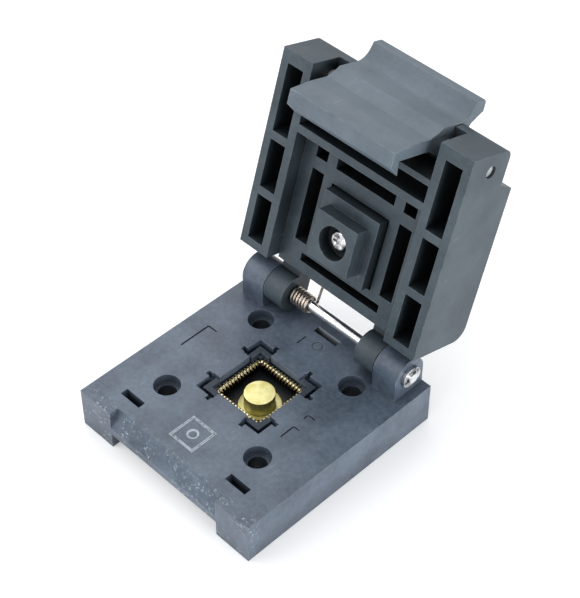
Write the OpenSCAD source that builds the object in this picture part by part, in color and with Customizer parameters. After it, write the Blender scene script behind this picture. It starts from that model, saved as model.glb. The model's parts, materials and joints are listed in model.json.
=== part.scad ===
// Clamshell test socket for a square leadless package.
// The origin is the centre of the package nest, on the bottom plane.
// X runs along the hinge, Y points to the hinge and Z is up. The lid is drawn open.

/* [Package] */
// Side of the square package
package_side = 8; // [7:0.1:8.4]
// Play between the package and its corner guides
package_play = 0.05; // [0.02:0.01:0.1]
// Lead pitch
lead_pitch = 0.5; // [0.4:0.01:0.52]
// Leads along each side
leads = 14; // [8:1:14]

/* [Base] */
// Width along the hinge
base_w = 29; // [28.6:0.1:34]
// Nest centre to the front face
base_front = 15.8; // [15.2:0.1:18]
// Wall of the base behind the ears
rear_margin = 0.05; // [0.05:0.05:1]
// Height of the moulded base
base_h = 5.95; // [5.8:0.05:6.6]
// Thickness of the top skin over the nest
skin_t = 1; // [0.8:0.05:1.1]
// Overhang of the opening beyond the package on each side
mouth_play = 0.28; // [0.2:0.02:0.4]
// Distance between the mounting holes, along X and Y
hole_pitch = 15.7; // [15.5:0.1:18]
// Mounting hole diameter
hole_d = 2.4; // [2:0.1:2.6]
// Counterbore diameter for the mounting screw heads
counterbore_d = 3.4; // [3.2:0.1:3.6]
// Counterbore depth
counterbore_depth = 1.3; // [1:0.1:1.6]
// Side clearance of the latch in the bay of the base front
bay_play = 1.19; // [0.6:0.01:1.4]
// Depth of the undercut below the catch nose
catch_depth = 1.95; // [1.9:0.05:2.2]
// Height of the underside of the catch nose
catch_z = 2.3; // [2.25:0.05:2.4]
// Height of the catch nose at the front
nose_h = 1.15; // [0.9:0.05:1.4]
// How far the bevel over the nose runs back
bevel_run = 1.4; // [1:0.1:2]

/* [Hinge] */
// Nest centre to the hinge axis
hinge_y = 12.11; // [12:0.05:13]
// Hinge axis above the base top
hinge_rise = 2.69; // [2.65:0.01:3]
// Radius of the ears and knuckles
knuckle_r = 2.44; // [2.2:0.02:2.5]
// Shaft diameter
shaft_d = 1.4; // [1.2:0.05:1.5]
// Radial clearance of the shaft
shaft_play = 0.04; // [0.02:0.01:0.06]
// Outer face of each ear, in from the side of the base
ear_inset = 1.42; // [1:0.02:1.6]
// Width of an ear
ear_w = 3.65; // [3.2:0.05:4]
// Side clearance between an ear and its knuckle
ear_gap = 0.12; // [0.05:0.01:0.16]
// Clip outer diameter
clip_d = 2.9; // [2.6:0.1:3.2]
// Clip thickness
clip_t = 0.4; // [0.3:0.05:0.5]
// How far the lid opens, in degrees
lid_open = 107; // [95:1:108]
// Turns of the hinge spring
spring_turns = 6; // [4:1:7]
// Hinge spring wire diameter
spring_wire = 0.36; // [0.3:0.02:0.4]

/* [Lid] */
// How far each side of the lid stands out past the base
lid_proud = 0.05; // [0:0.05:0.4]
// Overhang of the lid beyond the base front
lid_overhang = 2.8; // [2.6:0.05:3.4]
// Hinge axis to the hinge end of the side rails
lid_back = 4; // [3.8:0.1:4.6]
// Gap between the closed lid and the base top
lid_gap = 0.06; // [0.04:0.01:0.1]
// Outer face of the thick part above the hinge axis
lid_top = 6.72; // [6.5:0.02:7.4]
// Outer face of the thin front part above the hinge axis
lid_step = 4.32; // [4.2:0.02:4.8]
// Width of each side rail
rail_w = 4.73; // [4.6:0.01:4.9]
// Wall around the rail pockets
rail_wall = 1.1; // [0.9:0.05:1.3]
// Depth of the middle web below the rails
web_drop = 2.27; // [2.1:0.01:2.5]
// Roof left over the lid pockets
roof_t = 1.4; // [1:0.1:1.6]

/* [Pusher] */
// Side of the pressing face
pad_side = 6.3; // [5.8:0.1:6.4]
// Pressing face below the hinge axis when closed
pad_drop = 3.75; // [3.6:0.05:3.8]
// Height of the upper tier
pad_h = 2; // [1.8:0.05:2.1]
// Width of the lower tier, along X
plate_w = 8.76; // [8.4:0.02:8.9]
// Length of the lower tier, along the lid
plate_len = 9.3; // [9:0.1:9.4]
// Thickness of the lower tier
plate_t = 2.3; // [2:0.1:2.4]
// Diameter of the recess for the screw head
recess_d = 4.28; // [4:0.02:4.4]
// Screw head diameter
head_d = 2.7; // [2.4:0.05:2.8]
// Screw head height
head_h = 0.87; // [0.7:0.01:1]
// Screw head below the pressing face
head_sink = 0.98; // [0.9:0.01:1.02]
// Screw shank diameter
shank_d = 1.6; // [1.4:0.1:1.7]
// Travel of the pusher
push_travel = 0.9; // [0.6:0.05:0.95]

/* [Latch] */
// Side of the latch, in from the inner face of the lid rails
latch_inset = 1.85; // [1.6:0.01:2.2]
// Latch pin ahead of the base front
latch_ahead = 0.5; // [0.4:0.01:0.6]
// Latch pin above the hinge axis when closed
latch_t = 1.29; // [1.2:0.01:1.4]
// Latch pin diameter
latch_pin_d = 1.5; // [1.3:0.05:1.6]
// Radial clearance of the latch pin
latch_play = 0.04; // [0.02:0.01:0.06]

/* [Contacts] */
// Width of a contact along its row
contact_w = 0.2; // [0.16:0.01:0.22]
// Thickness of the contact strip
contact_t = 0.16; // [0.12:0.01:0.18]
// Height of the contact tips
tip_z = 5.03; // [4.9:0.01:5.1]
// Height of the contact housing
housing_top = 2.8; // [2.6:0.05:2.9]
// Thickness of the lead plate
lead_plate_t = 0.6; // [0.5:0.05:0.7]

/* [Ground pin] */
// Diameter of the ground pin
ground_d = 3.86; // [3.6:0.02:3.9]
// Height of the top of the ground pin
ground_z = 4.65; // [4.5:0.05:4.7]
// Flange diameter of its sleeve
sleeve_d = 5.4; // [5.2:0.05:5.5]
// Top of the sleeve flange
sleeve_z = 2.57; // [2.5:0.01:2.6]
// Radial clearance of the ground pin
ground_play = 0.05; // [0.03:0.01:0.08]
// Travel of the ground pin
ground_travel = 0.3; // [0.2:0.05:0.4]

/* [Nest] */
// Thickness of the nest ring
nest_t = 0.8; // [0.6:0.05:0.9]
// Thickness of the corner guides
guide_t = 0.73; // [0.6:0.01:0.8]
// Tops of the guides below the base top
guide_low = 0.3; // [0.1:0.05:0.5]
// Reach of each guide arm towards the middle of a side
guide_start = 2.6; // [2.5:0.05:3]
// Travel of the nest
nest_travel = 0.35; // [0.2:0.05:0.4]

/* [Hidden] */
$fn = 64;
EPS = 0.01;

slate = "slategray";
dark = "darkslategray";
steel = "silver";
gold = "gold";

// Places along Z
axis_z = base_h + hinge_rise;
skin_z = base_h - skin_t;
nest_top = skin_z - 0.05;
nest_z = nest_top - nest_t;

// Nest and housing, half sizes about the nest centre
package_half = package_side / 2;
mouth_half = package_half + mouth_play;
guide_in = package_half + package_play;
guide_out = guide_in + guide_t;
relief_half = guide_out + 0.62;
cavity_half = relief_half + 0.05;
ring_half = cavity_half - 0.1;
ring_in = ring_half - 0.7;
housing_half = cavity_half - 0.05;
plate_half = cavity_half + 0.7;
ledge_z = tip_z + 0.27;

// Base, derived places
base_rear = hinge_y + knuckle_r + rear_margin;
plate_z = lead_plate_t + 0.6;
hole_half = hole_pitch / 2;
ear_out = base_w / 2 - ear_inset;
ear_in = ear_out - ear_w;
lug_half = 1.6;
lug_reach = plate_half + 2.6;
lug_screw_y = lug_reach - 1.2;
tiny_d = 1;

// Lid, measured from the hinge axis: s along the lid, t away from the base
lid_w = base_w + 2 * lid_proud;
front_s = hinge_y + base_front;
lid_len = front_s + lid_overhang;
rail_face = lid_gap - hinge_rise;
web_face = rail_face + web_drop;
rail_in = lid_w / 2 - rail_w;
web_back = lid_back - 0.45;
step_s = front_s - 2.86;
knuckle_out = ear_in - ear_gap;
knuckle_in = knuckle_out - 3.1;
bar_s = front_s - 6.1;
bar_w = 1.02;
rib_s = front_s - 8.93;
rib_w = 1.62;
strip_w = 1.48;
bay_gap = 0.2;
bay_s = front_s - 1.2;
bay_roof = lid_step - 2.3;
pocket_t = lid_step - roof_t;
strip_s = hinge_y + 5.27;
rib_x = 4.62;
well_x = plate_w / 2 + 0.27;
well_half = plate_len / 2 + 0.25;

// Pusher
pad_face = -pad_drop;
plate_face = pad_face + pad_h;
plate_back = plate_face + plate_t;
head_face = pad_face + head_sink;
head_seat = head_face + head_h;
well_floor = plate_back + push_travel + 0.25;
insert_d = shank_d + 1.2;
insert_len = 2.4;
press_spring_d = 1.5;
press_spring_at = 3;
press_pocket = 1.2;

// Latch
latch_half = rail_in - latch_inset;
bay_half = latch_half + bay_play;
latch_s = front_s + latch_ahead;
hook_in = front_s - 1.58;
hook_top = catch_z - 0.13 - axis_z;
hook_low = hook_top - 1.58;
latch_pin_in = 0.35;
latch_spring_d = 1.1;
latch_spring_t = latch_t + 1.75;
latch_spring_x = 4.4;
latch_spring_s = bay_s - 1.6;

// Contacts
contact_row = 4.28;
slot_play = 0.03;

// Ground pin, heights above the lead plate
pin_foot_z = 1.1;
pin_bore_z = 2.6;
ground_spring_d = 2;

// Nest springs and ledges
guide_ledge = (leads - 1) * lead_pitch / 2 + contact_w / 2 + 0.2;
spring_at = ring_half - 0.75;
nest_spring_d = 0.9;
nest_seat = housing_top - 0.7;

// Hinge spring
coil_in = shaft_d / 2 + 0.15;
spring_x = 0.15 - knuckle_in;
leg_down = hinge_rise - 0.05;
leg_up = web_back - 0.3;
leg_lean = 0.85;

// ---- helpers ------------------------------------------------------------

// Points of an arc about c, from angle a to angle b
function arc(c, r, a, b, steps = 8) =
    [for (i = [0:steps]) let (q = a + (b - a) * i / steps) [c[0] + r * cos(q), c[1] + r * sin(q)]];

// Unit normal of the step from p to q, to its left
function left_of(p, q) = let (d = q - p) [-d[1], d[0]] / norm(d);

// The path moved sideways by w
function beside(path, w) =
    let (last = len(path) - 1)
    [for (i = [0:last])
        let (a = left_of(path[max(i - 1, 0)], path[max(i, 1)]),
             b = left_of(path[min(i, last - 1)], path[min(i + 1, last)]),
             n = (a + b) / norm(a + b))
        path[i] + n * w / max(n * a, 0.5)];

// The path turned round
function turned(path) = [for (i = [len(path) - 1:-1:0]) path[i]];

// A strip of even thickness along a path
module strip(path, thick) {
    polygon(concat(beside(path, thick / 2), turned(beside(path, -thick / 2))));
}

// Children drawn in the YZ plane, made solid from x0 to x1
module along_x(x0, x1) {
    translate([x0, 0, 0]) rotate([90, 0, 90]) linear_extrude(x1 - x0) children();
}

// A rod along X about the origin
module rod_x(x0, x1, r) {
    translate([x0, 0, 0]) rotate([0, 90, 0]) cylinder(h = x1 - x0, r = r);
}

// Children drawn with the lid closed and the hinge axis as origin, put on the open lid
module on_lid() {
    translate([0, hinge_y, axis_z]) rotate([-lid_open, 0, 0]) children();
}

// Children drawn as s along the lid and t away from the base
module lid_profile(x0, x1) {
    along_x(x0, x1) mirror([1, 0]) children();
}

// A box on the lid, from its lowest to its highest x, s and t
module lid_box(low, high) {
    translate([low[0], -high[1], low[2]])
        cube([high[0] - low[0], high[1] - low[1], high[2] - low[2]]);
}

// A hole or rod across the lid plane, at x and s, from t0 to t1
module lid_rod(x, s, t0, t1, r) {
    translate([x, -s, t0]) cylinder(h = t1 - t0, r = r);
}

// Children on both sides of the middle plane
module both_sides() {
    children();
    mirror([1, 0, 0]) children();
}

// Children at the four corners of a square
module at_corners(half) {
    for (x = [-half, half], y = [-half, half]) translate([x, y, 0]) children();
}

// A square plate about the Z axis
module plate(half, z0, z1) {
    translate([-half, -half, z0]) cube([2 * half, 2 * half, z1 - z0]);
}

// One ring of a coil: a polygon of wire radius w about the coil at angle a, height h
function coil_ring(r, w, a, h, sides) =
    [for (k = [0:sides - 1])
        let (q = 360 * k / sides, d = r + w * cos(q))
        [d * cos(a), d * sin(a), h + w * sin(q)]];

// A closed tube through rings of equal size
module tube(rings) {
    sides = len(rings[0]);
    last = len(rings) - 1;
    polyhedron(
        points = [for (ring = rings) each ring],
        faces = concat(
            [[for (k = [sides - 1:-1:0]) k]],
            [for (i = [0:last - 1], k = [0:sides - 1])
                let (a = i * sides, b = a + sides, n = (k + 1) % sides)
                [a + k, a + n, b + n, b + k]],
            [[for (k = [0:sides - 1]) last * sides + k]]));
}

// A coil spring standing on z = 0
module coil(d, wire, length, turns, steps = 12, sides = 6) {
    count = round(turns * steps);
    rise = (length - wire) / count;
    tube([for (i = [0:count])
        coil_ring((d - wire) / 2, wire / 2, 360 * i / steps, wire / 2 + rise * i, sides)]);
}

// ---- base ---------------------------------------------------------------

module base_block() {
    nose_z = catch_z + nose_h;
    difference() {
        translate([-base_w / 2, -base_front, 0]) cube([base_w, base_front + base_rear, base_h]);
        along_x(-bay_half, bay_half) {
            polygon([
                [-base_front - 1, nose_z], [-base_front, nose_z],
                [-base_front + bevel_run, base_h], [-base_front + bevel_run, base_h + 1],
                [-base_front - 1, base_h + 1]]);
            polygon([
                [-base_front - 1, -1], [-base_front + catch_depth, -1],
                [-base_front + catch_depth, catch_z], [-base_front - 1, catch_z]]);
        }
    }
}

// One ear: a round-topped block that carries an end of the hinge shaft
module ear() {
    translate([0, hinge_y, axis_z]) rod_x(ear_in, ear_out, knuckle_r);
    translate([ear_in, hinge_y - knuckle_r, base_h / 2])
        cube([ear_w, 2 * knuckle_r, axis_z - base_h / 2]);
}

// The opening over the package, with a relief round each corner guide
module mouth() {
    arm = guide_start - 0.15;
    notch = 0.62;
    plate(mouth_half, skin_z - 1, base_h + 1);
    for (q = [0:90:270]) rotate(q) {
        translate([arm, mouth_half - 1, skin_z - 1])
            cube([relief_half - arm, relief_half - mouth_half + 1, base_h - skin_z + 2]);
        translate([mouth_half - 1, arm, skin_z - 1])
            cube([relief_half - mouth_half + 1, relief_half - arm, base_h - skin_z + 2]);
        translate([arm + 0.15, relief_half - 1, skin_z - EPS])
            cube([notch, 1 + notch, base_h]);
        translate([relief_half - 1, arm + 0.15, skin_z - EPS])
            cube([1 + notch, notch, base_h]);
    }
}

// A shallow L-shaped line in the base top: corner place, arm along X, arm along Y
module corner_mark(at, dx, dy) {
    line = 0.24;
    deep = 0.22;
    translate([at[0], at[1], base_h - deep]) {
        translate([min(dx, 0), -line / 2, 0]) cube([abs(dx), line, 1]);
        translate([-line / 2, min(dy, 0), 0]) cube([line, abs(dy), 1]);
    }
}

module base_marks() {
    pad = 1.9;
    line = 0.16;
    corner_mark([-11.6, 2.4], 1.45, -4.6);
    corner_mark([7.5, -1.6], 0.9, -2.2);
    corner_mark([7.45, 0.85], 1.15, -0.8);
    corner_mark([-1.83, 9.75], 0.01, -1.6);
    translate([0.36, 9.55, base_h - 0.1]) difference() {
        cylinder(h = 1, r = 0.74);
        translate([0, 0, -1]) cylinder(h = 3, r = 0.56);
    }
    translate([0, -10.8, base_h - 0.1]) {
        difference() {
            translate([-pad, -pad, 0]) cube([2 * pad, 2 * pad, 1]);
            translate([line - pad, line - pad, -1]) cube([2 * (pad - line), 2 * (pad - line), 3]);
        }
        cylinder(h = 1, r = 0.62);
    }
}

// Outline of the lead plate, grown by play
module lead_outline(play = 0) {
    square(2 * (plate_half + play), center = true);
    square([2 * (lug_half + play), 2 * (lug_reach + play)], center = true);
}

module base_body() {
    slot_w = 3.25;
    slot_y = 1.05;
    color(slate) difference() {
        union() {
            base_block();
            both_sides() ear();
        }
        translate([0, hinge_y, axis_z]) rod_x(-base_w, base_w, shaft_d / 2 + shaft_play);
        at_corners(hole_half) {
            translate([0, 0, -1]) cylinder(h = base_h + 2, r = hole_d / 2);
            translate([0, 0, base_h - counterbore_depth])
                cylinder(h = counterbore_depth + 1, r = counterbore_d / 2);
        }
        mouth();
        plate(cavity_half, lead_plate_t, skin_z);
        plate(plate_half + 0.05, -1, plate_z);
        translate([0, 0, -1]) linear_extrude(lead_plate_t + 1) lead_outline(0.05);
        for (y = [-lug_screw_y, lug_screw_y])
            translate([0, y, lead_plate_t - EPS]) cylinder(h = 2.2, r = tiny_d / 2 + 0.02);
        both_sides() translate([7.5, -base_front + 3.13, -1]) cube([slot_w, slot_y, base_h + 2]);
        translate([-1.9, hinge_y - 0.98, -1]) cube([3.8, 0.92, base_h + 2]);
        base_marks();
    }
}

module plate_screws() {
    color(steel) for (y = [-lug_screw_y, lug_screw_y]) translate([0, y, 0.04]) difference() {
        union() {
            cylinder(h = 2.5, r = tiny_d / 2);
            cylinder(h = 0.3, r = tiny_d / 2 + 0.4);
        }
        translate([0, 0, 0.1]) {
            cube([0.9, 0.18, 0.4], center = true);
            cube([0.18, 0.9, 0.4], center = true);
        }
    }
}

// ---- contacts and their housing -----------------------------------------

// The side view of one contact: r out from the nest centre, z up
module contact_profile() {
    foot = contact_row;
    elbow = package_half + 0.03;
    bend = 0.16;
    top = tip_z - contact_t / 2;
    path = concat(
        [[foot, 0.02], [foot, housing_top - 0.5], [foot - 0.07, housing_top - 0.1]],
        [[elbow - 0.36, 3.3], [elbow - 0.42, 3.65], [elbow - 0.34, 4]],
        [[elbow, top - 2.4 * bend]],
        arc([elbow - bend + 0.02, top - 0.07 - bend], bend, 0, 90, 5),
        [[elbow - 0.4, top], [elbow - 0.5, top - 0.04], [elbow - 0.56, top - 0.16]]);
    strip(path, contact_t);
}

// A row of contacts on the side of the nest that faces turn degrees from +Y
module contact_row_at(turn) {
    first = -(leads - 1) * lead_pitch / 2;
    color(gold) rotate(turn) for (i = [0:leads - 1])
        along_x(first + i * lead_pitch - contact_w / 2, first + i * lead_pitch + contact_w / 2)
            contact_profile();
}

module contacts_rear() { contact_row_at(0); }
module contacts_left() { contact_row_at(90); }
module contacts_front() { contact_row_at(180); }
module contacts_right() { contact_row_at(270); }

// The slots that a row of contacts stands in, from r0 to r1
module contact_slots(r0, r1, z0, z1) {
    first = -(leads - 1) * lead_pitch / 2;
    half = contact_w / 2 + slot_play;
    for (q = [0:90:270]) rotate(q) for (i = [0:leads - 1])
        translate([first + i * lead_pitch - half, r0, z0]) cube([2 * half, r1 - r0, z1 - z0]);
}

module contact_housing() {
    color(dark) difference() {
        union() {
            plate(plate_half, lead_plate_t, plate_z - 0.02);
            plate(housing_half, lead_plate_t, housing_top);
        }
        contact_slots(contact_row - 0.3, contact_row + 0.15, 0, housing_top + 1);
        translate([0, 0, -1]) cylinder(h = housing_top + 2, r = sleeve_d / 2 + 0.02);
        at_corners(spring_at) translate([0, 0, nest_seat]) cylinder(h = 5, r = nest_spring_d / 2 + 0.1);
    }
}

module lead_plate() {
    color(dark) difference() {
        linear_extrude(lead_plate_t) lead_outline();
        contact_slots(contact_row - 0.15, contact_row + 0.15, -1, lead_plate_t + 1);
        for (y = [-lug_screw_y, lug_screw_y]) translate([0, y, 0]) {
            translate([0, 0, -1]) cylinder(h = 3, r = tiny_d / 2 + 0.05);
            translate([0, 0, -1]) cylinder(h = 1.36, r = tiny_d / 2 + 0.45);
        }
    }
}

// ---- ground pin ---------------------------------------------------------

module ground_sleeve() {
    color(gold) translate([0, 0, lead_plate_t]) difference() {
        cylinder(h = sleeve_z - lead_plate_t, r = sleeve_d / 2);
        translate([0, 0, -1]) cylinder(h = 5, r = ground_d / 2 + ground_play);
        translate([0, 0, -1]) cylinder(h = 1 + pin_foot_z, r = ground_d / 2 + 0.35);
    }
}

module ground_pin() {
    foot = ground_travel + 0.1;
    color(gold) translate([0, 0, lead_plate_t]) difference() {
        union() {
            translate([0, 0, foot]) cylinder(h = ground_z - lead_plate_t - foot, r = ground_d / 2);
            translate([0, 0, foot])
                cylinder(h = pin_foot_z - foot - 0.04, r = ground_d / 2 + 0.28);
        }
        cylinder(h = pin_bore_z, r = ground_spring_d / 2 + 0.1);
    }
}

module ground_spring() {
    color(steel) translate([0, 0, lead_plate_t + 0.02])
        coil(ground_spring_d, 0.3, pin_bore_z - 0.04, 4);
}

// ---- package nest -------------------------------------------------------

// One L-shaped guide with the ledge that a package corner rests on
module corner_guide() {
    top = base_h - guide_low;
    for (m = [0, 1]) mirror([m, -m]) {
        translate([guide_start, guide_in, nest_z])
            cube([guide_out - guide_start, guide_t, top - nest_z]);
        translate([guide_start, guide_in, nest_z])
            cube([guide_out - guide_start, ring_half - guide_in, nest_t]);
    }
    translate([guide_ledge, guide_ledge, nest_z])
        cube([guide_in - guide_ledge + EPS, guide_in - guide_ledge + EPS, ledge_z - nest_z]);
}

module package_nest() {
    color(dark) union() {
        difference() {
            plate(ring_half, nest_z, nest_top);
            plate(ring_in, nest_z - 1, nest_top + 1);
        }
        for (q = [0:90:270]) rotate(q) corner_guide();
    }
}

module nest_springs() {
    color(steel) at_corners(spring_at) translate([0, 0, nest_seat + 0.02])
        coil(nest_spring_d, 0.16, nest_z - nest_seat - 0.04, 5, 10);
}

// ---- hinge --------------------------------------------------------------

module hinge_shaft() {
    groove = shaft_d / 2 - 0.15;
    tip = ear_out + clip_t + 0.35;
    color(steel) translate([0, hinge_y, axis_z]) {
        rod_x(-ear_out - 0.04, ear_out + 0.04, shaft_d / 2);
        rod_x(-tip, tip, groove);
        both_sides() rod_x(ear_out + 0.08 + clip_t, tip, shaft_d / 2);
    }
}

// A spring clip with inner lobes and an open mouth
module e_clip(side) {
    hold = shaft_d / 2 - 0.12;
    color(steel) translate([0, hinge_y, axis_z]) mirror([side > 0 ? 0 : 1, 0, 0])
        along_x(ear_out + 0.06, ear_out + 0.06 + clip_t) rotate(-60) difference() {
            circle(r = clip_d / 2);
            circle(r = hold);
            translate([0, -hold * 0.8]) square([clip_d, hold * 1.6]);
            for (q = [115, 245]) rotate(q) translate([hold + 0.05, 0]) circle(r = 0.3);
        }
}

module e_clip_left() { e_clip(-1); }
module e_clip_right() { e_clip(1); }

// A ring of the hinge spring's leg, out along the tangent at angle a
function leg_ring(r, w, a, out, h, sides) =
    [for (p = coil_ring(r, w, a, h, sides)) p + out * [-sin(a), cos(a), 0]];

// The torsion spring round the shaft: one leg stands on the base, one bears on the lid
module hinge_spring() {
    steps = 14;
    sides = 8;
    w = spring_wire / 2;
    r = coil_in + w;
    count = round(spring_turns * steps);
    pitch = spring_wire * 1.32;
    turn = 360 * count / steps;
    color(steel) translate([spring_x, hinge_y, axis_z]) rotate([90, 0, 90]) tube(concat(
        [leg_ring(r, w, 0, -leg_down, 0, sides)],
        [for (i = [0:count]) coil_ring(r, w, 360 * i / steps, pitch * i / steps, sides)],
        [leg_ring(r, w, turn, leg_up, pitch * count / steps + leg_lean, sides)]));
}

// ---- lid ----------------------------------------------------------------

// The lid seen from the side, from its hinge end at back
module lid_side(back) {
    front_r = 1.2;
    back_r = 1.8;
    polygon(concat(
        [[back, rail_face], [lid_len, rail_face]],
        arc([lid_len - front_r, lid_step - front_r], front_r, 0, 90),
        [[step_s + 0.86, lid_step], [step_s, lid_top]],
        arc([back + back_r, lid_top - back_r], back_r, 90, 180)));
}

// A knuckle and the neck that carries it
module knuckle() {
    rod_x(knuckle_in, knuckle_out, knuckle_r);
    lid_box([knuckle_in, 0, 0.2], [knuckle_out, web_back + 1, knuckle_r]);
}

// Pockets in one side rail, with cross ribs between them
module rail_pockets() {
    bay = (lid_len - lid_back) / 3.45;
    ends = [lid_back + rail_wall, lid_back + bay + 0.15, lid_back + 2 * bay + 0.1, lid_len - 1.65];
    for (i = [0:2])
        lid_box([rail_in + rail_wall + 0.05, ends[i] + (i > 0 ? rail_wall / 2 : 0), rail_face - 1],
            [lid_w / 2 - rail_wall, ends[i + 1] - (i < 2 ? rail_wall / 2 : 0), pocket_t]);
}

// Openings in the web between the rails
module web_openings() {
    deep = lid_top - roof_t;
    both_sides() {
        lid_box([knuckle_in - 0.13, web_back + 3.85, web_face - 1], [knuckle_out - 1.3, strip_s, deep]);
        lid_box([knuckle_in - 0.1, rib_s, web_face - 1], [knuckle_out - 1.35, bar_s, deep]);
    }
    lid_box([-rib_x, rib_s, web_face - 1], [rib_x, bar_s, deep]);
    lid_box([-well_x, hinge_y - well_half, web_face - 1], [well_x, hinge_y + well_half, well_floor]);
    lid_box([0.25 - knuckle_in - 0.5, web_back + 1.45, web_face - 1],
        [knuckle_in + 0.25, web_back + 2.58, deep]);
}

// The latch bay at the free end, and the pocket behind it
module latch_bay() {
    side = latch_half + bay_gap;
    bridge = 0.8;
    lid_box([-rail_in, bar_s + bar_w, rail_face - 1], [rail_in, bay_s - 0.9 - bridge, bay_roof]);
    lid_box([-rail_in, bay_s - 0.9, rail_face - 1], [rail_in, lid_len + 1, bay_roof]);
    lid_box([-side, bay_s, rail_face - 1], [side, lid_len + 1, lid_top + 1]);
    for (x = [-latch_spring_x, latch_spring_x])
        translate([x, -bay_s - 1, latch_spring_t]) rotate([-90, 0, 0])
            cylinder(h = bay_s + 1 - latch_spring_s, r = latch_spring_d / 2 + 0.08);
}

module lid_frame() {
    color(slate) on_lid() difference() {
        union() {
            lid_profile(-lid_w / 2, -rail_in) lid_side(lid_back);
            lid_profile(rail_in, lid_w / 2) lid_side(lid_back);
            lid_profile(-rail_in, rail_in) lid_side(web_back);
            both_sides() knuckle();
        }
        lid_box([-rail_in, -knuckle_r, rail_face - 1], [rail_in, bar_s, -knuckle_r]);
        lid_box([-rail_in, knuckle_r + 0.1, rail_face - 1], [rail_in, bar_s, web_face]);
        rod_x(-lid_w, lid_w, shaft_d / 2 + shaft_play);
        both_sides() rail_pockets();
        web_openings();
        latch_bay();
        translate([0, -latch_s, latch_t]) rod_x(-lid_w, lid_w, latch_pin_d / 2 + latch_play);
        lid_rod(0, hinge_y, well_floor - 1, well_floor + insert_len, insert_d / 2 + 0.02);
    }
}

// ---- pusher -------------------------------------------------------------

module pusher() {
    color(slate) on_lid() difference() {
        union() {
            lid_box([-plate_w / 2, hinge_y - plate_len / 2, plate_face],
                [plate_w / 2, hinge_y + plate_len / 2, plate_back]);
            lid_box([-pad_side / 2, hinge_y - pad_side / 2, pad_face],
                [pad_side / 2, hinge_y + pad_side / 2, plate_face + 0.1]);
        }
        lid_rod(0, hinge_y, pad_face - 1, head_seat + 0.02, recess_d / 2);
        lid_rod(0, hinge_y, pad_face - 1, plate_back + 1, shank_d / 2 + 0.06);
        for (x = [-press_spring_at, press_spring_at], y = [-press_spring_at, press_spring_at])
            lid_rod(x, hinge_y + y, plate_back - press_pocket, plate_back + 1, press_spring_d / 2 + 0.08);
    }
}

module pusher_screw() {
    tip = well_floor + insert_len - 0.4;
    cross_w = 0.36;
    color(steel) on_lid() difference() {
        union() {
            translate([0, -hinge_y, head_face]) rotate_extrude() polygon(concat(
                [[0, 0]],
                arc([head_d / 2 - 0.45, 0.45], 0.45, -90, 0, 6),
                [[head_d / 2, head_h], [0, head_h]]));
            lid_rod(0, hinge_y, head_face + head_h / 2, tip, shank_d / 2);
        }
        for (q = [0, 90]) translate([0, -hinge_y, head_face]) rotate(q)
            translate([-0.75, -cross_w / 2, -0.5]) cube([1.5, cross_w, 1]);
    }
}

module pusher_insert() {
    color("goldenrod") on_lid() difference() {
        lid_rod(0, hinge_y, well_floor + 0.02, well_floor + insert_len, insert_d / 2);
        lid_rod(0, hinge_y, well_floor - 1, well_floor + insert_len - 0.3, shank_d / 2 + 0.02);
    }
}

module pusher_springs() {
    rest = plate_back - press_pocket + 0.02;
    color(steel) on_lid()
        for (x = [-press_spring_at, press_spring_at], y = [-press_spring_at, press_spring_at])
            translate([x, -hinge_y - y, rest])
                coil(press_spring_d, 0.24, well_floor - rest - 0.02, 4, 10);
}

// ---- latch --------------------------------------------------------------

// The latch seen from the side: hook, arm, pivot boss and thumb tab
module latch_side() {
    arm_in = front_s + 0.37;
    arm_out = front_s + 1.95;
    boss_in = latch_s - 1.21;
    boss_out = front_s + 2.94;
    tab_tip = boss_out + 2.15;
    tab_low = latch_t + 3.9;
    polygon(concat(
        [[hook_in, hook_top], [hook_in + 1.29, hook_low], [arm_out - 0.33, hook_low]],
        [[arm_out, hook_low + 3.4], [arm_out, latch_t - 3.3]],
        [[boss_out - 0.5, latch_t - 2.2], [boss_out, latch_t - 1.4], [boss_out, latch_t + 1.6]],
        arc([tab_tip, latch_t + 1.6], tab_tip - boss_out, 165, 105, 6),
        [[tab_tip, tab_low], [tab_tip, tab_low + 1.4], [tab_tip - 0.3, tab_low + 1.65]],
        [[tab_tip - 1.5, tab_low + 1.7], [latch_s + 1.9, latch_t + 3.8]],
        [[latch_s + 0.2, latch_t + 3], [boss_in + 0.3, latch_t + 2.8]],
        [[boss_in, latch_t + 1.1], [boss_in, latch_t - 1.1], [arm_in, latch_t - 3]],
        [[arm_in, hook_top - 0.38]]));
}

module latch() {
    color("lightslategray") on_lid() difference() {
        lid_profile(-latch_half, latch_half) latch_side();
        translate([0, -latch_s, latch_t]) rod_x(-lid_w, lid_w, latch_pin_d / 2 + latch_play);
    }
}

module latch_pin() {
    color(steel) on_lid() translate([0, -latch_s, latch_t])
        rod_x(latch_pin_in - lid_w / 2, lid_w / 2 - latch_pin_in, latch_pin_d / 2);
}

module latch_springs() {
    face = latch_s - 1.05;
    color(steel) on_lid() for (x = [-latch_spring_x, latch_spring_x])
        translate([x, -latch_spring_s - 0.02, latch_spring_t]) rotate([90, 0, 0])
            coil(latch_spring_d, 0.2, face - latch_spring_s - 0.04, 6, 10);
}

base_body();
contact_housing();
lead_plate();
plate_screws();
contacts_front();
contacts_rear();
contacts_left();
contacts_right();
ground_sleeve();
ground_pin();
ground_spring();
package_nest();
nest_springs();
hinge_shaft();
e_clip_left();
e_clip_right();
hinge_spring();
lid_frame();
pusher();
pusher_screw();
pusher_insert();
pusher_springs();
latch();
latch_pin();
latch_springs();
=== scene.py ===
"""Clamshell test socket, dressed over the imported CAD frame."""
import json
import math

import bpy
import numpy as np
from mathutils import Matrix, Vector


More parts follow.
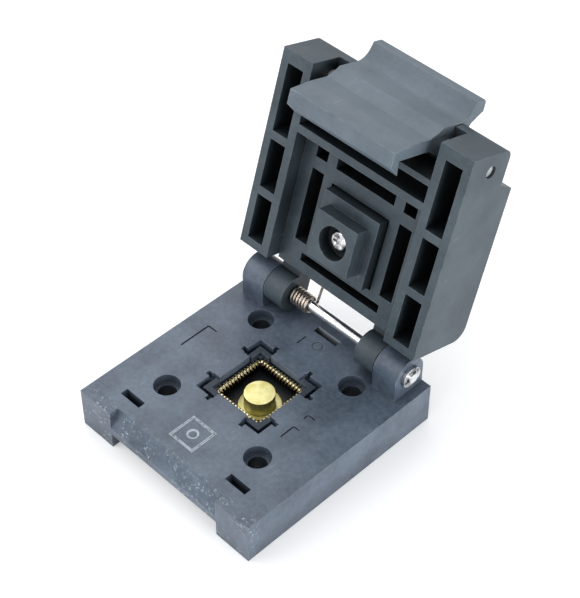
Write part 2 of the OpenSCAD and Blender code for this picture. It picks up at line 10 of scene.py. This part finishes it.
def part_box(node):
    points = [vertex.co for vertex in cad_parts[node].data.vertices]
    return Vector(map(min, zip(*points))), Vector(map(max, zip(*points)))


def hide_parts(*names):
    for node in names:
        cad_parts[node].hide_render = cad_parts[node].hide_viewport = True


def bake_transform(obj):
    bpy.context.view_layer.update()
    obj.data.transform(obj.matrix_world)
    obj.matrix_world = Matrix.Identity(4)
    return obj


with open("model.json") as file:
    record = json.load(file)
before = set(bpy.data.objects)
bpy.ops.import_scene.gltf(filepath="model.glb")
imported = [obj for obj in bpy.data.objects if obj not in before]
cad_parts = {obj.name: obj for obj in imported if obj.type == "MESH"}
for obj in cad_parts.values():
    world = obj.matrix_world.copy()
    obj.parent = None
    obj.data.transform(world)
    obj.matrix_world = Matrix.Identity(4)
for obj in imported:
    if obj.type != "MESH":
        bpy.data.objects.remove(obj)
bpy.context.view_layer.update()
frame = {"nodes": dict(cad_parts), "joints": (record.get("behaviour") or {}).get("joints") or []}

NODES = frame["nodes"]
MM = 0.001
HINGE = next(j["pos_m"] for j in frame["joints"] if j["name"] == "lid_hinge")

# ---- camera -------------------------------------------------------------


def make_camera():
    """The camera looks at target and stands aside, upward and away from it, in its own axes.

    Its axes come from azimuth a and elevation e: right is (cos a, sin a, 0), back points from
    the target to the camera, and up is square to both.
    """
    azimuth, elevation, roll = math.radians(45.29), math.radians(45.11), math.radians(0.09)
    aside, upward, away = 4.082 * MM, 14.893 * MM, 201.04 * MM
    target = Vector((0, -0.606 * MM, 0))
    right = Vector((math.cos(azimuth), math.sin(azimuth), 0))
    back = Vector((math.sin(azimuth) * math.cos(elevation),
                   -math.cos(azimuth) * math.cos(elevation), math.sin(elevation)))
    up = back.cross(right)
    turn = Matrix((right, up, back)).transposed().to_4x4() @ Matrix.Rotation(roll, 4, "Z")

    camera = bpy.data.objects.new("camera", bpy.data.cameras.new("camera"))
    bpy.context.scene.collection.objects.link(camera)
    camera.matrix_world = Matrix.Translation(
        target + right * aside + up * upward + back * away) @ turn
    camera.data.lens = 98.81
    camera.data.sensor_width = 36
    camera.data.clip_start = 0.01
    camera.data.clip_end = 10
    bpy.context.scene.camera = camera


make_camera()

# ---- node helpers -------------------------------------------------------


class Tree:
    """A node tree that is written line by line."""

    def __init__(self, tree):
        self.tree = tree

    def add(self, kind, inputs=None, **settings):
        node = self.tree.nodes.new(kind)
        for key, value in settings.items():
            setattr(node, key, value)
        for key, value in (inputs or {}).items():
            if isinstance(value, bpy.types.NodeSocket):
                self.tree.links.new(value, node.inputs[key])
            else:
                node.inputs[key].default_value = value
        return node

    def math(self, operation, a, b=0.0, clamp=False):
        return self.add("ShaderNodeMath", {0: a, 1: b}, operation=operation,
                        use_clamp=clamp).outputs[0]

    def ramp(self, value, low, high):
        """Value between low and high, spread from 0 to 1 smoothly."""
        return self.add("ShaderNodeMapRange", {0: value, 1: low, 2: high, 3: 0.0, 4: 1.0},
                        interpolation_type="SMOOTHSTEP").outputs[0]

    def mix(self, mask, a, b, blend="MIX"):
        node = self.add("ShaderNodeMix", data_type="RGBA", blend_type=blend)
        for socket, value in zip((node.inputs[0], node.inputs[6], node.inputs[7]), (mask, a, b)):
            if isinstance(value, bpy.types.NodeSocket):
                self.tree.links.new(value, socket)
            else:
                socket.default_value = value
        return node.outputs[2]

    def noise(self, vector, scale, detail=4.0, rough=0.55):
        return self.add("ShaderNodeTexNoise", {"Vector": vector, "Scale": scale,
                        "Detail": detail, "Roughness": rough}).outputs[0]

    def stretched(self, vector, scale, turn=(0, 0, 0)):
        return self.add("ShaderNodeMapping", {"Vector": vector, "Scale": scale,
                        "Rotation": turn}).outputs[0]


def new_group(name, inputs, outputs):
    tree = bpy.data.node_groups.new(name, "ShaderNodeTree")
    for label, kind, value in inputs:
        item = tree.interface.new_socket(label, in_out="INPUT", socket_type=kind)
        item.default_value = value
    for label, kind in outputs:
        tree.interface.new_socket(label, in_out="OUTPUT", socket_type=kind)
    t = Tree(tree)
    return t, t.add("NodeGroupInput"), t.add("NodeGroupOutput")


COLOUR, NUMBER, VECTOR = "NodeSocketColor", "NodeSocketFloat", "NodeSocketVector"
SQUARE_MARK = 10.8  # mm from the nest's middle forward to the middle of the square mark


def band(t, value, low, high):
    """1 where the value lies between low and high, with soft ends."""
    soft = (high - low) / 4
    return t.math("MULTIPLY", t.ramp(value, low - soft, low + soft),
                  t.ramp(value, high + soft, high - soft))


def handling_scuffs(t, place, broad):
    """Long thin scuffs that run two ways, where the broad noise is high."""
    scuffs = None
    for turn, low in ((0.5, 0.66), (-0.9, 0.68)):
        lines = t.noise(t.stretched(place, (2600, 190, 900), (0.2, 0.1, turn)), 1.0, 3.0)
        mask = t.math("MULTIPLY", t.ramp(lines, low, low + 0.1), t.ramp(broad, 0.45, 0.7))
        scuffs = mask if scuffs is None else t.math("MAXIMUM", scuffs, mask)
    return scuffs


def rubbed_and_highlit_edges(t, place, rounded):
    """Edges, where the rounded normal leaves the flat one, broken up by noise."""
    # Edges are painted pale: part rubbed wear, part painted highlight.
    flat = t.add("ShaderNodeNewGeometry").outputs["Normal"]
    same = t.add("ShaderNodeVectorMath", {0: rounded, 1: flat}, operation="DOT_PRODUCT")
    edge = t.ramp(same.outputs["Value"], 0.995, 0.86)
    return t.math("MULTIPLY", edge, t.ramp(t.noise(place, 700.0, 3.0), 0.3, 0.6))


def chalky_lines(t, place, side, forward):
    """Worn pale lines: a square of half width 1.82 mm and a ring of radius 0.62 mm."""
    square = band(t, t.math("MAXIMUM", side, forward), 1.66, 1.98)
    radius = t.math("SQRT", t.math("ADD", t.math("MULTIPLY", side, side),
                                   t.math("MULTIPLY", forward, forward)))
    ring = band(t, radius, 0.5, 0.74)
    return t.math("MULTIPLY", t.math("MAXIMUM", square, ring),
                  t.ramp(t.noise(place, 1700.0, 3.0), 0.3, 0.5))


def front_chips(t, place, y):
    """Pale chips in patches, thicker towards the front edge."""
    chips = t.math("MULTIPLY", t.ramp(t.noise(place, 2300.0, 5.0, 0.75), 0.54, 0.66),
                   t.ramp(t.noise(place, 330.0, 2.0), 0.4, 0.56))
    return t.math("MULTIPLY", t.ramp(y, -13.4, -15.2), chips)


def plastic_group():
    """Moulded plastic: cloudy colour, fine grain, pale specks, scuffs, rubbed edges with a painted
    highlight, and painted shade in recesses.

    "Base marks" adds what only the base has: chips along the front, the chalky square and
    ring, and painted light on the far wall of the rear slot.
    """
    t, given, out = new_group(
        "moulded_plastic",
        [("Dark", COLOUR, (0, 0, 0, 1)), ("Light", COLOUR, (0, 0, 0, 1)),
         ("Edge", COLOUR, (0, 0, 0, 1)), ("Wear", NUMBER, 1.0), ("Rough", NUMBER, 0.5),
         ("Round", NUMBER, 0.0001), ("Recess", NUMBER, 0.8), ("Base marks", NUMBER, 0.0)],
        [("Color", COLOUR), ("Roughness", NUMBER), ("Normal", VECTOR)])
    place = t.add("ShaderNodeTexCoord").outputs["Object"]
    mm = t.add("ShaderNodeSeparateXYZ", {0: t.stretched(place, (1000, 1000, 1000))})
    y = mm.outputs["Y"]
    side = t.math("ABSOLUTE", mm.outputs["X"])
    forward = t.math("ABSOLUTE", t.math("ADD", y, SQUARE_MARK))
    rounded = t.add("ShaderNodeBevel", {"Radius": given.outputs["Round"]}, samples=6).outputs[0]

    # Cloudy colour from a broad and a fine noise
    broad = t.noise(place, 150.0, 5.0, 0.6)
    fine = t.noise(place, 1500.0, 6.0, 0.7)
    cloud = t.math("ADD", t.math("MULTIPLY", t.ramp(broad, 0.32, 0.68), 0.6),
                   t.math("MULTIPLY", t.ramp(fine, 0.3, 0.7), 0.4))
    colour = t.mix(cloud, given.outputs["Dark"], given.outputs["Light"])

    # Pale marks, part wear and part painted highlight on edges: the strongest of them shows
    specks = t.ramp(t.noise(place, 5200.0, 2.0), 0.72, 0.78)
    marks = t.math("MAXIMUM", t.math("MULTIPLY", handling_scuffs(t, place, broad), 0.4),
                   t.math("MULTIPLY", specks, 0.5))
    marks = t.math("MAXIMUM", marks, t.math("MULTIPLY", rubbed_and_highlit_edges(t, place, rounded), 0.4))
    lines = chalky_lines(t, place, side, forward)
    # Painted light: the far wall of the rear slot is painted pale, as if lit.
    slot_wall_painted_light = t.math("MULTIPLY", t.ramp(side, 2.0, 1.9), band(t, y, 12.02, 12.09))
    special = t.math("MAXIMUM", t.math("MULTIPLY", front_chips(t, place, y), 0.75), lines)
    special = t.math("MAXIMUM", special, t.math("MULTIPLY", slot_wall_painted_light, 0.8))
    special = t.math("MULTIPLY", special, given.outputs["Base marks"])
    marks = t.math("MULTIPLY", t.math("MAXIMUM", marks, special), given.outputs["Wear"],
                   clamp=True)
    colour = t.mix(marks, colour, given.outputs["Edge"])

    # Painted shade: recesses are painted darker than the open faces, but less so in the
    # clearances round the corner guides and in the chalky lines
    open_sky = t.add("ShaderNodeAmbientOcclusion", {"Distance": 0.006}, samples=6).outputs["AO"]
    shade = t.math("MULTIPLY", t.math("SUBTRACT", 1.0, t.ramp(open_sky, 0.12, 0.85)),
                   given.outputs["Recess"])
    middle = t.ramp(t.math("MAXIMUM", side, t.math("ABSOLUTE", y)), 6.1, 5.7)
    spared = t.math("MULTIPLY", t.math("MAXIMUM", t.math("MULTIPLY", middle, 0.85), lines),
                    given.outputs["Base marks"])
    shade = t.math("MULTIPLY", shade, t.math("SUBTRACT", 1.0, spared))
    colour = t.mix(shade, colour, (0.004, 0.005, 0.006, 1))

    rough = t.math("ADD", given.outputs["Rough"], t.math("MULTIPLY", t.math(
        "SUBTRACT", fine, 0.5), 0.3), clamp=True)
    height = t.math("ADD", t.noise(place, 3600.0, 4.0), t.math("MULTIPLY", broad, 0.6))
    bump = t.add("ShaderNodeBump", {"Strength": 0.35, "Distance": 0.00003, "Height": height,
                                    "Normal": rounded}).outputs[0]
    for name, value in (("Color", colour), ("Roughness", rough), ("Normal", bump)):
        t.tree.links.new(value, out.inputs[name])
    return t.tree


def metal_group():
    """Metal: faint smudges, drawn lines along the part and a softened edge."""
    t, given, out = new_group(
        "worked_metal",
        [("Bright", COLOUR, (0, 0, 0, 1)), ("Dull", COLOUR, (0, 0, 0, 1)),
         ("Rough", NUMBER, 0.2), ("Lines", NUMBER, 0.2)],
        [("Color", COLOUR), ("Roughness", NUMBER), ("Normal", VECTOR)])
    place = t.add("ShaderNodeTexCoord").outputs["Object"]
    smudge = t.ramp(t.noise(place, 900.0, 5.0, 0.6), 0.35, 0.7)
    lines = t.noise(t.stretched(place, (300, 9000, 9000)), 1.0, 3.0)
    colour = t.mix(smudge, given.outputs["Bright"], given.outputs["Dull"])
    rough = t.math("ADD", given.outputs["Rough"], t.math("MULTIPLY", smudge, 0.14), clamp=True)
    bevel = t.add("ShaderNodeBevel", {"Radius": 0.00006}, samples=6).outputs[0]
    bump = t.add("ShaderNodeBump", {"Strength": given.outputs["Lines"], "Distance": 0.00001,
                                    "Height": lines, "Normal": bevel}).outputs[0]
    for name, value in (("Color", colour), ("Roughness", rough), ("Normal", bump)):
        t.tree.links.new(value, out.inputs[name])
    return t.tree


PLASTIC = plastic_group()
METAL = metal_group()


def rgb(red, green, blue):
    """Display values 0..255 as a linear colour."""
    def linear(v):
        v = v / 255
        return v / 12.92 if v <= 0.04045 else ((v + 0.055) / 1.055) ** 2.4
    return (linear(red), linear(green), linear(blue), 1.0)


def material(name, group, values, metallic=0.0, specular=0.5):
    mat = bpy.data.materials.new(name)
    mat.use_nodes = True
    t = Tree(mat.node_tree)
    shader = mat.node_tree.nodes["Principled BSDF"]
    node = t.add("ShaderNodeGroup", node_tree=group)
    for key, value in values.items():
        node.inputs[key].default_value = value
    t.tree.links.new(node.outputs["Color"], shader.inputs["Base Color"])
    t.tree.links.new(node.outputs["Roughness"], shader.inputs["Roughness"])
    t.tree.links.new(node.outputs["Normal"], shader.inputs["Normal"])
    shader.inputs["Metallic"].default_value = metallic
    shader.inputs["Specular IOR Level"].default_value = specular
    return mat


# Dark and Light are the cloudy colour's two ends; Edge: colour of wear and painted highlights
# The recess number sets how strongly recesses get painted shade.
base_mat = material("base_plastic", PLASTIC, {
    "Dark": rgb(58, 70, 85), "Light": rgb(101, 114, 131), "Edge": rgb(188, 198, 207),
    "Wear": 1.0, "Rough": 0.38, "Round": 0.00008, "Recess": 0.6, "Base marks": 1.0})
slate = material("slate_plastic", PLASTIC, {
    "Dark": rgb(52, 63, 71), "Light": rgb(76, 88, 96), "Edge": rgb(170, 182, 189),
    "Wear": 0.9, "Rough": 0.42, "Round": 0.00012, "Recess": 1.0}, specular=0.35)
# The nest is painted darker than the base: painted shade on its corner guides.
nest_mat = material("nest_plastic", PLASTIC, {
    "Dark": rgb(39, 48, 59), "Light": rgb(62, 73, 86), "Edge": rgb(165, 178, 188),
    "Wear": 1.0, "Rough": 0.5, "Round": 0.00008, "Recess": 0.45}, specular=0.3)
# The latch is a lighter copy of the slate plastic: painted light on its lit plate.
latch_mat = material("latch_plastic", PLASTIC, {
    "Dark": rgb(84, 97, 107), "Light": rgb(106, 118, 129), "Edge": rgb(194, 204, 210),
    "Wear": 0.8, "Rough": 0.5, "Round": 0.00022, "Recess": 0.35})
dark_mat = material("dark_plastic", PLASTIC, {
    "Dark": rgb(31, 33, 38), "Light": rgb(52, 55, 62), "Edge": rgb(116, 121, 128),
    "Wear": 0.6, "Rough": 0.4, "Round": 0.00006, "Recess": 0.8})
steel = material("polished_steel", METAL, {
    "Bright": rgb(235, 236, 238), "Dull": rgb(196, 198, 202), "Rough": 0.12, "Lines": 0.15},
    metallic=1.0)
clip_steel = material("clip_steel", METAL, {
    "Bright": rgb(240, 240, 242), "Dull": rgb(72, 74, 78), "Rough": 0.16, "Lines": 1.0},
    metallic=1.0)
worn_steel = material("worn_steel", METAL, {
    "Bright": rgb(226, 228, 230), "Dull": rgb(178, 180, 184), "Rough": 0.5, "Lines": 0.2},
    metallic=0.8)
wire = material("spring_wire", METAL, {
    "Bright": rgb(206, 194, 182), "Dull": rgb(150, 140, 130), "Rough": 0.25, "Lines": 0.1},
    metallic=1.0)
gold = material("gold_plate", METAL, {
    "Bright": rgb(238, 231, 172), "Dull": rgb(226, 216, 142), "Rough": 0.4, "Lines": 0.1},
    metallic=1.0)
insert_mat = material("brass_insert", METAL, {
    "Bright": rgb(226, 184, 108), "Dull": rgb(190, 148, 80), "Rough": 0.3, "Lines": 0.3},
    metallic=1.0)


def contact_material():
    """Contact strips: painted shade down in the housing, bright gold towards the tips."""
    t, given, out = new_group(
        "contact_strip", [("Tip z", NUMBER, 0.005), ("Low z", NUMBER, 0.003)], [("Color", COLOUR)])
    place = t.add("ShaderNodeTexCoord").outputs["Object"]
    height = t.add("ShaderNodeSeparateXYZ", {0: place}).outputs["Z"]
    up = t.ramp(t.math("DIVIDE", t.math("SUBTRACT", height, given.outputs["Low z"]),
                       t.math("SUBTRACT", given.outputs["Tip z"], given.outputs["Low z"])),
                0.0, 1.0)
    stain = t.ramp(t.noise(place, 2500.0, 3.0), 0.4, 0.65)
    tip = t.mix(stain, rgb(254, 243, 204), rgb(236, 214, 160))
    # Painted shade: the contacts go dark low down in the housing.
    t.tree.links.new(t.mix(up, rgb(36, 29, 18), tip), out.inputs["Color"])
    mat = bpy.data.materials.new("contact_gold")
    mat.use_nodes = True
    m = Tree(mat.node_tree)
    shader = mat.node_tree.nodes["Principled BSDF"]
    node = m.add("ShaderNodeGroup", node_tree=t.tree)
    node.inputs["Tip z"].default_value = 0.0048
    node.inputs["Low z"].default_value = 0.0038
    m.tree.links.new(node.outputs["Color"], shader.inputs["Base Color"])
    shader.inputs["Metallic"].default_value = 1.0
    shader.inputs["Roughness"].default_value = 0.3
    return mat


contact_mat = contact_material()

LOOK = {
    "base_body": base_mat, "lid_frame": slate, "pusher": slate, "latch": latch_mat,
    "contact_housing": dark_mat, "lead_plate": dark_mat, "package_nest": nest_mat,
    "plate_screws": steel, "hinge_shaft": steel,
    "e_clip_left": clip_steel, "e_clip_right": clip_steel,
    "latch_pin": worn_steel, "pusher_screw": clip_steel, "pusher_insert": insert_mat,
    "ground_sleeve": gold, "ground_pin": gold, "ground_spring": wire, "nest_springs": wire,
    "pusher_springs": wire, "latch_springs": wire, "hinge_spring": wire,
    "contacts_front": contact_mat, "contacts_rear": contact_mat,
    "contacts_left": contact_mat, "contacts_right": contact_mat,
}


def dress(piece, mat):
    piece.data.materials.clear()
    piece.data.materials.append(mat)


for node, mat in LOOK.items():
    dress(NODES[node], mat)

# ---- hinge spring -------------------------------------------------------


def tube(name, path, radius, sides=12):
    """A round closed tube: a circle carried square to the path.

    Each circle's first direction is the last one's with its part along the path taken out,
    so the tube doesn't twist.
    """
    path = np.asarray(path, float)
    ahead = np.gradient(path, axis=0)
    ahead /= np.linalg.norm(ahead, axis=1)[:, None]
    first = np.empty_like(path)
    last = np.cross(ahead[0], (0.3, 0.9, 0.2))
    for ring, along in enumerate(ahead):
        last = last - along * np.dot(last, along)
        last /= np.linalg.norm(last)
        first[ring] = last
    second = np.cross(ahead, first)
    angles = np.linspace(0, 2 * np.pi, sides, endpoint=False)[:, None]
    points = path[:, None] + radius * (np.cos(angles) * first[:, None]
                                       + np.sin(angles) * second[:, None])
    grid = np.arange(len(path) * sides).reshape(len(path), sides)
    after = np.roll(grid, -1, axis=1)
    faces = np.stack((grid[:-1], after[:-1], after[1:], grid[1:]), axis=-1).reshape(-1, 4)
    caps = [grid[0, ::-1].tolist(), grid[-1].tolist()]
    mesh = bpy.data.meshes.new(name)
    mesh.from_pydata(points.reshape(-1, 3).tolist(), [], faces.tolist() + caps)
    mesh.validate()
    mesh.polygons.foreach_set("use_smooth", [True] * len(mesh.polygons))
    piece = bpy.data.objects.new(name, mesh)
    bpy.context.scene.collection.objects.link(piece)
    return piece


def make_hinge_spring():
    """The torsion spring: its coil winds up between the base leg and the lid leg.

    The coil is a helix about the hinge axis: x grows evenly with the angle a, while y and z
    go as cos a and sin a. The base leg comes up to its start, and the lid leg goes up from
    its end and leans along x.
    """
    low, high = (Vector(v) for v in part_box("hinge_spring"))
    radius = 0.18 * MM
    bend = 1.03 * MM
    lean = 0.85 * MM
    turns, steps = 6, 28
    x0, x1 = low.x + radius, high.x - radius - lean
    y1 = HINGE[1] + bend

    up = np.linspace(low.z, HINGE[2], 8)[:-1]
    base_leg = np.stack((np.full_like(up, x0), np.full_like(up, y1), up), axis=1)
    wound = np.linspace(0, 1, turns * steps + 1)
    angle = 2 * np.pi * turns * wound
    coil = np.stack((x0 + (x1 - x0) * wound, HINGE[1] + bend * np.cos(angle),
                     HINGE[2] + bend * np.sin(angle)), axis=1)
    out = np.linspace(0, 1, 10)[1:]
    lid_leg = np.stack((x1 + lean * out, np.full_like(out, y1),
                        HINGE[2] + (high.z - HINGE[2]) * out), axis=1)

    piece = tube("hinge_spring_coil", np.concatenate((base_leg, coil, lid_leg)), radius)
    dress(piece, wire)
    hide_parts("hinge_spring")
    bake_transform(piece)


make_hinge_spring()


def flex(node, way):
    """A copy of a straight spring, dressed in wire, that takes the hidden part's place.
    way is normalised but not used."""
    piece = bpy.data.objects.new(node + "_coils", NODES[node].data.copy())
    bpy.context.scene.collection.objects.link(piece)
    piece.data.transform(NODES[node].matrix_world)
    dress(piece, wire)
    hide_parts(node)
    way = Vector(way).normalized()
    points = np.empty(len(piece.data.vertices) * 3)
    piece.data.vertices.foreach_get("co", points)
    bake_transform(piece)


# The pusher's springs stand along its slide, and the latch's lie square to that and to the hinge
press_way = -Vector(next(j["axis"] for j in frame["joints"] if j["name"] == "pusher_slide"))
flex("pusher_springs", press_way)
flex("latch_springs", Vector((1, 0, 0)).cross(press_way))
flex("nest_springs", (0, 0, 1))
flex("ground_spring", (0, 0, 1))

# ---- floor and light ----------------------------------------------------


def rays_seen(t, glossy):
    """1 for camera rays, glossy for reflected rays and 0 for the rest."""
    ray = t.add("ShaderNodeLightPath").outputs
    return t.math("MAXIMUM", ray["Is Camera Ray"],
                  t.math("MULTIPLY", ray["Is Glossy Ray"], glossy))


def make_floor():
    """A pale matt floor just under the base."""
    half = 2
    mesh = bpy.data.meshes.new("floor")
    mesh.from_pydata([(-half, -half, 0), (half, -half, 0), (half, half, 0), (-half, half, 0)],
                     [], [(0, 1, 2, 3)])
    floor = bpy.data.objects.new("floor", mesh)
    bpy.context.scene.collection.objects.link(floor)
    floor.location.z = -0.02 * MM
    mat = bpy.data.materials.new("floor")
    mat.use_nodes = True
    shader = mat.node_tree.nodes["Principled BSDF"]
    shader.inputs["Base Color"].default_value = (0.86, 0.87, 0.88, 1)
    shader.inputs["Roughness"].default_value = 0.9
    shader.inputs["Specular IOR Level"].default_value = 0.1
    shader.inputs["Emission Color"].default_value = (1, 1, 1, 1)
    t = Tree(mat.node_tree)
    glow, least = 0.32, 0.12
    t.tree.links.new(t.math("MAXIMUM", t.math("MULTIPLY", rays_seen(t, 1.0), glow), least),
                     shader.inputs["Emission Strength"])
    dress(floor, mat)


def area_light(name, azimuth, elevation, size, power):
    """A soft square light, LIGHT_AWAY from LIGHT_AIM, that looks at it."""
    a, e = math.radians(azimuth), math.radians(elevation)
    away = Vector((math.sin(a) * math.cos(e), -math.cos(a) * math.cos(e), math.sin(e)))
    light = bpy.data.objects.new(name, bpy.data.lights.new(name, "AREA"))
    light.data.size = size
    light.data.energy = power
    bpy.context.scene.collection.objects.link(light)
    light.location = away * LIGHT_AWAY + LIGHT_AIM
    light.rotation_euler = away.to_track_quat("Z", "Y").to_euler()


def make_world():
    """A white room that is plain to see but lights the part only softly."""
    world = bpy.data.worlds.new("studio")
    bpy.context.scene.world = world
    world.use_nodes = True
    back = world.node_tree.nodes["Background"]
    back.inputs["Color"].default_value = (0.97, 0.985, 1, 1)
    t = Tree(world.node_tree)
    least = 0.28
    t.tree.links.new(t.math("MAXIMUM", rays_seen(t, 0.5), least), back.inputs["Strength"])


LIGHT_AWAY = 0.6
LIGHT_AIM = Vector((0, 0, 15 * MM))
LIGHTS = (  # name, azimuth, elevation, size in metres, power in watts
    ("sky", -135, 46, 0.6, 1.9),
    ("top", -60, 80, 0.4, 0.4),
    ("front", 20, 22, 0.4, 1.1),
    ("left", -45, 32, 0.5, 1.6),
    ("side", 95, 12, 0.4, 2.8),
)

make_floor()
for light in LIGHTS:
    area_light(*light)
make_world()
bpy.context.scene.view_settings.view_transform = "Standard"
